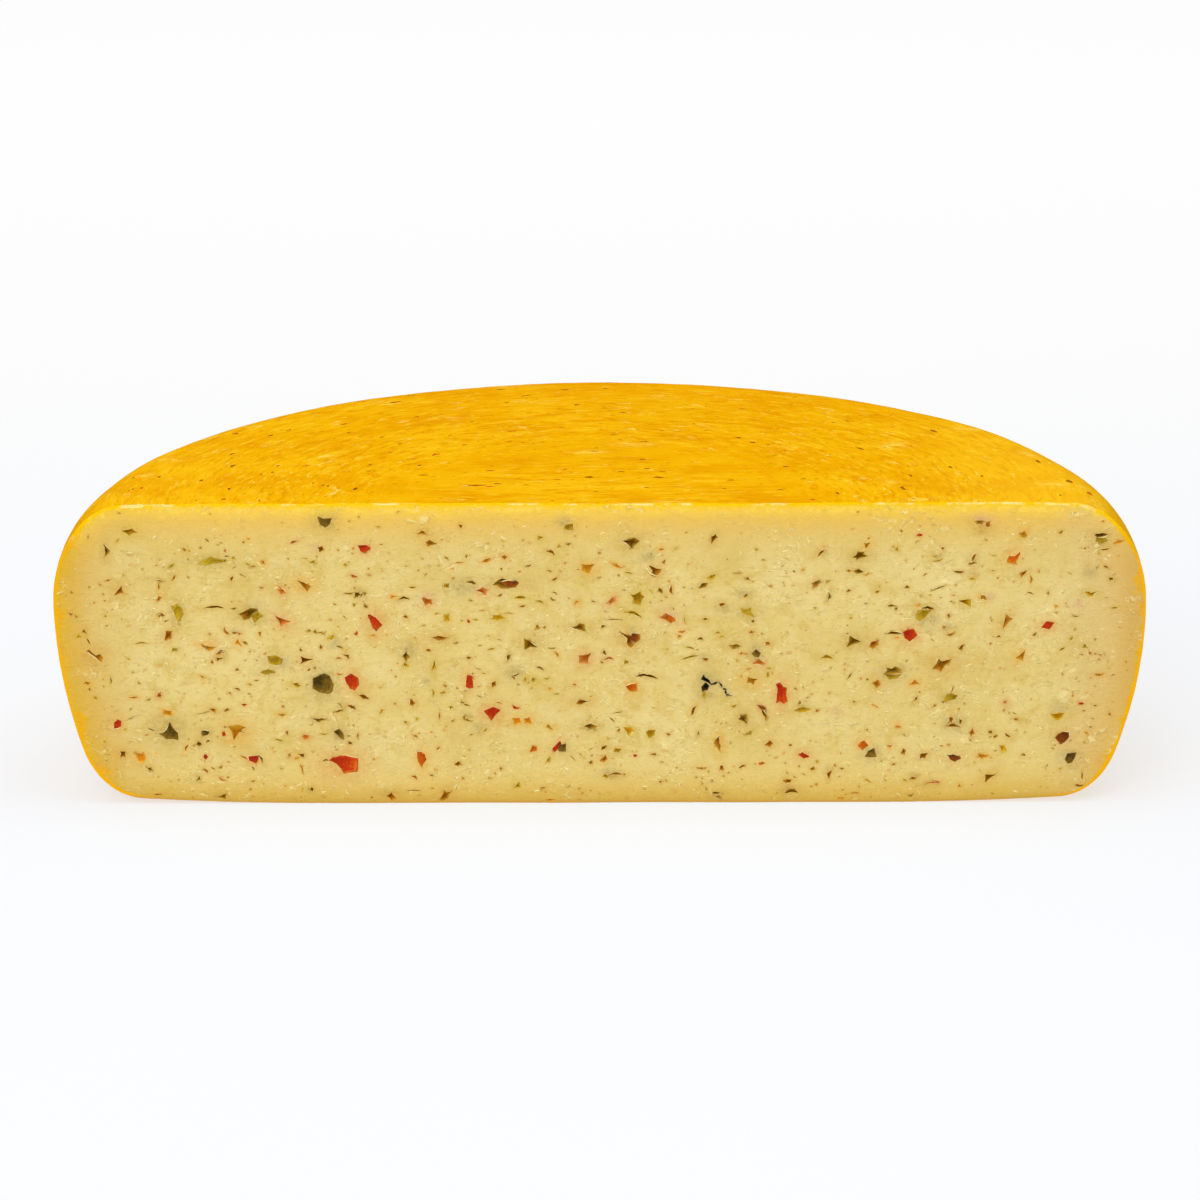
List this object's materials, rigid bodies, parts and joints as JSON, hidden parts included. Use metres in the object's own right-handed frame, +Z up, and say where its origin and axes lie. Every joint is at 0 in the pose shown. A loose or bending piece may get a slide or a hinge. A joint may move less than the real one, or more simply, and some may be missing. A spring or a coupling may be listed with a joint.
{
  "type": "half wheel of herb and pepper cheese",
  "caption": "Half of a pressed cheese wheel with a coloured rind, cut straight across, with pepper and herb flakes and small openings in its cut face.",
  "frame": {"origin": "on the resting plane, under the middle of the half wheel's box", "axes": "+X to the right along the cut face, +Y from the cut face to the round back, +Z up"},
  "size_m": [0.2801, 0.1408, 0.0804],
  "materials": {
    "paste": "pale yellow semi-hard cheese paste, satin",
    "rind": "orange-yellow coated rind, half gloss, with a faint cloth print",
    "red_flakes": "red pepper pieces, moist",
    "orange_flakes": "orange pepper pieces, moist",
    "green_flakes": "dark green pepper and herb pieces",
    "olive_flakes": "olive green herb pieces",
    "brown_flakes": "brown dried pieces and seeds"
  },
  "bodies": {
    "root": {"cheese": "paste"}
  },
  "joints": []
}
